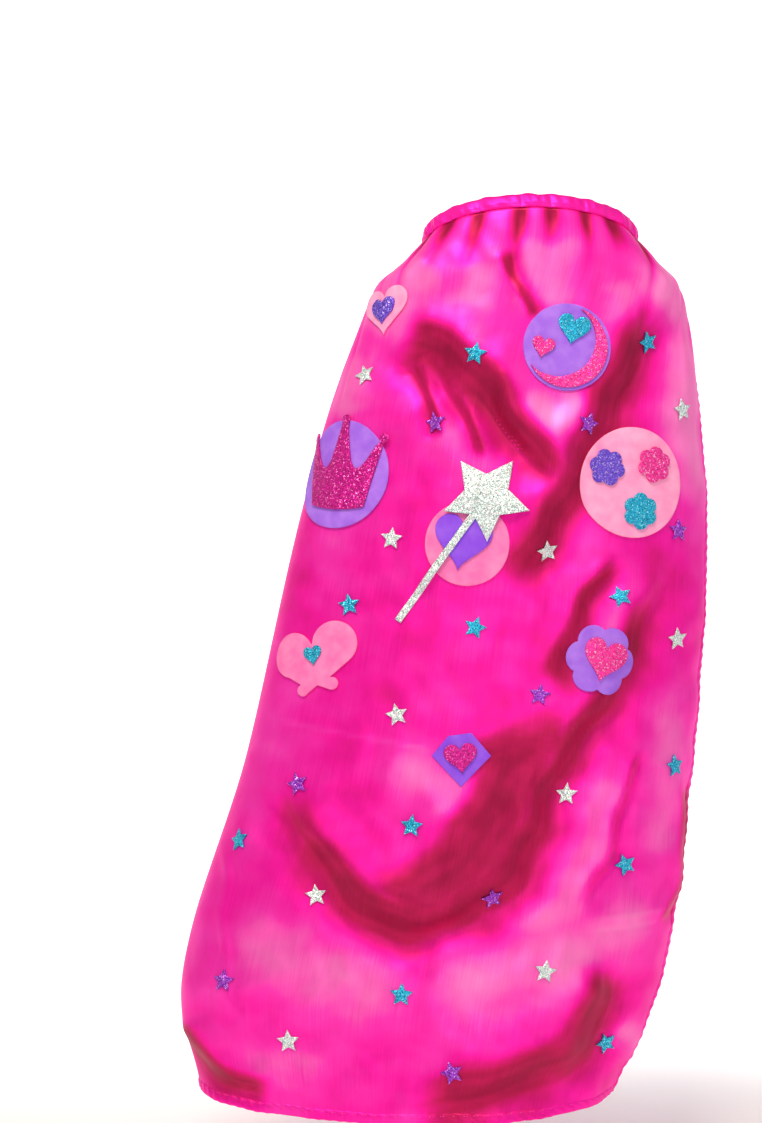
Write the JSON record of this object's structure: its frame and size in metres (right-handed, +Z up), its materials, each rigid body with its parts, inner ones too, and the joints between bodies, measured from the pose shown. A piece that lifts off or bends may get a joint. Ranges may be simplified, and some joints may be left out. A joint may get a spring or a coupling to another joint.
{
  "type": "costume cape",
  "caption": "Child's satin dress-up cape with gathered elastic neck, hook-and-loop closure and foam shapes stuck on its back.",
  "frame": {"origin": "centre of the neck opening, half way up the neck casing", "axes": "+Z up as worn, the wearer faces +Y, so the decorated outside faces -Y; +X is on the right seen from behind"},
  "size_m": [0.5275, 0.2131, 0.8977],
  "materials": {
    "satin": "polyester satin, strong soft sheen",
    "elastic": "woven elastic tape",
    "tape": "hook-and-loop tape",
    "pale_pink_foam": "matte craft foam",
    "pink_foam": "matte craft foam",
    "purple_foam": "matte craft foam",
    "deep_purple_foam": "matte craft foam",
    "silver_glitter": "glitter craft foam",
    "turquoise_glitter": "glitter craft foam",
    "purple_glitter": "glitter craft foam",
    "plum_glitter": "glitter craft foam",
    "pink_glitter": "glitter craft foam",
    "magenta_glitter": "glitter craft foam"
  },
  "bodies": {
    "cape": {"bloom_pink": "pink_glitter", "bloom_purple": "purple_glitter", "bloom_turquoise": "turquoise_glitter", "blossom_base": "purple_foam", "blossom_heart": "pink_glitter", "butterfly_base": "pink_foam", "butterfly_heart": "turquoise_glitter", "cape_panel": "satin", "crown_disc": "purple_foam", "crown_top": "magenta_glitter", "edge_hem": "satin", "flowers_disc": "pale_pink_foam", "gem_base": "deep_purple_foam", "gem_heart": "magenta_glitter", "heart_base": "pale_pink_foam", "heart_top": "purple_glitter", "loop_tab": "satin", "loop_tape": "tape", "moon_crescent": "pink_glitter", "moon_disc": "purple_foam", "moon_heart_large": "turquoise_glitter", "moon_heart_small": "pink_glitter", "neck_casing": "satin", "neck_elastic": "elastic", "star_plum_1": "plum_glitter", "star_plum_2": "plum_glitter", "star_plum_3": "plum_glitter", "star_plum_4": "plum_glitter", "star_plum_5": "plum_glitter", "star_plum_6": "plum_glitter", "star_plum_7": "plum_glitter", "star_plum_8": "plum_glitter", "star_silver_1": "silver_glitter", "star_silver_10": "silver_glitter", "star_silver_2": "silver_glitter", "star_silver_3": "silver_glitter", "star_silver_4": "silver_glitter", "star_silver_5": "silver_glitter", "star_silver_6": "silver_glitter", "star_silver_7": "silver_glitter", "star_silver_8": "silver_glitter", "star_silver_9": "silver_glitter", "star_turquoise_1": "turquoise_glitter", "star_turquoise_10": "turquoise_glitter", "star_turquoise_11": "turquoise_glitter", "star_turquoise_2": "turquoise_glitter", "star_turquoise_3": "turquoise_glitter", "star_turquoise_4": "turquoise_glitter", "star_turquoise_5": "turquoise_glitter", "star_turquoise_6": "turquoise_glitter", "star_turquoise_7": "turquoise_glitter", "star_turquoise_8": "turquoise_glitter", "star_turquoise_9": "turquoise_glitter", "wand": "silver_glitter", "wand_disc": "pink_foam", "wand_heart": "deep_purple_foam"},
    "closure_tab": {"hook_tab": "satin", "hook_tape": "tape"}
  },
  "joints": [
    {"name": "closure_tab_hinge", "type": "hinge", "parent": "cape", "child": "closure_tab", "pos_m": [-0.02655, 0.06216, -0.03305], "axis": [0, 0.4695, 0.8829], "range_deg": [0, 110]}
  ]
}
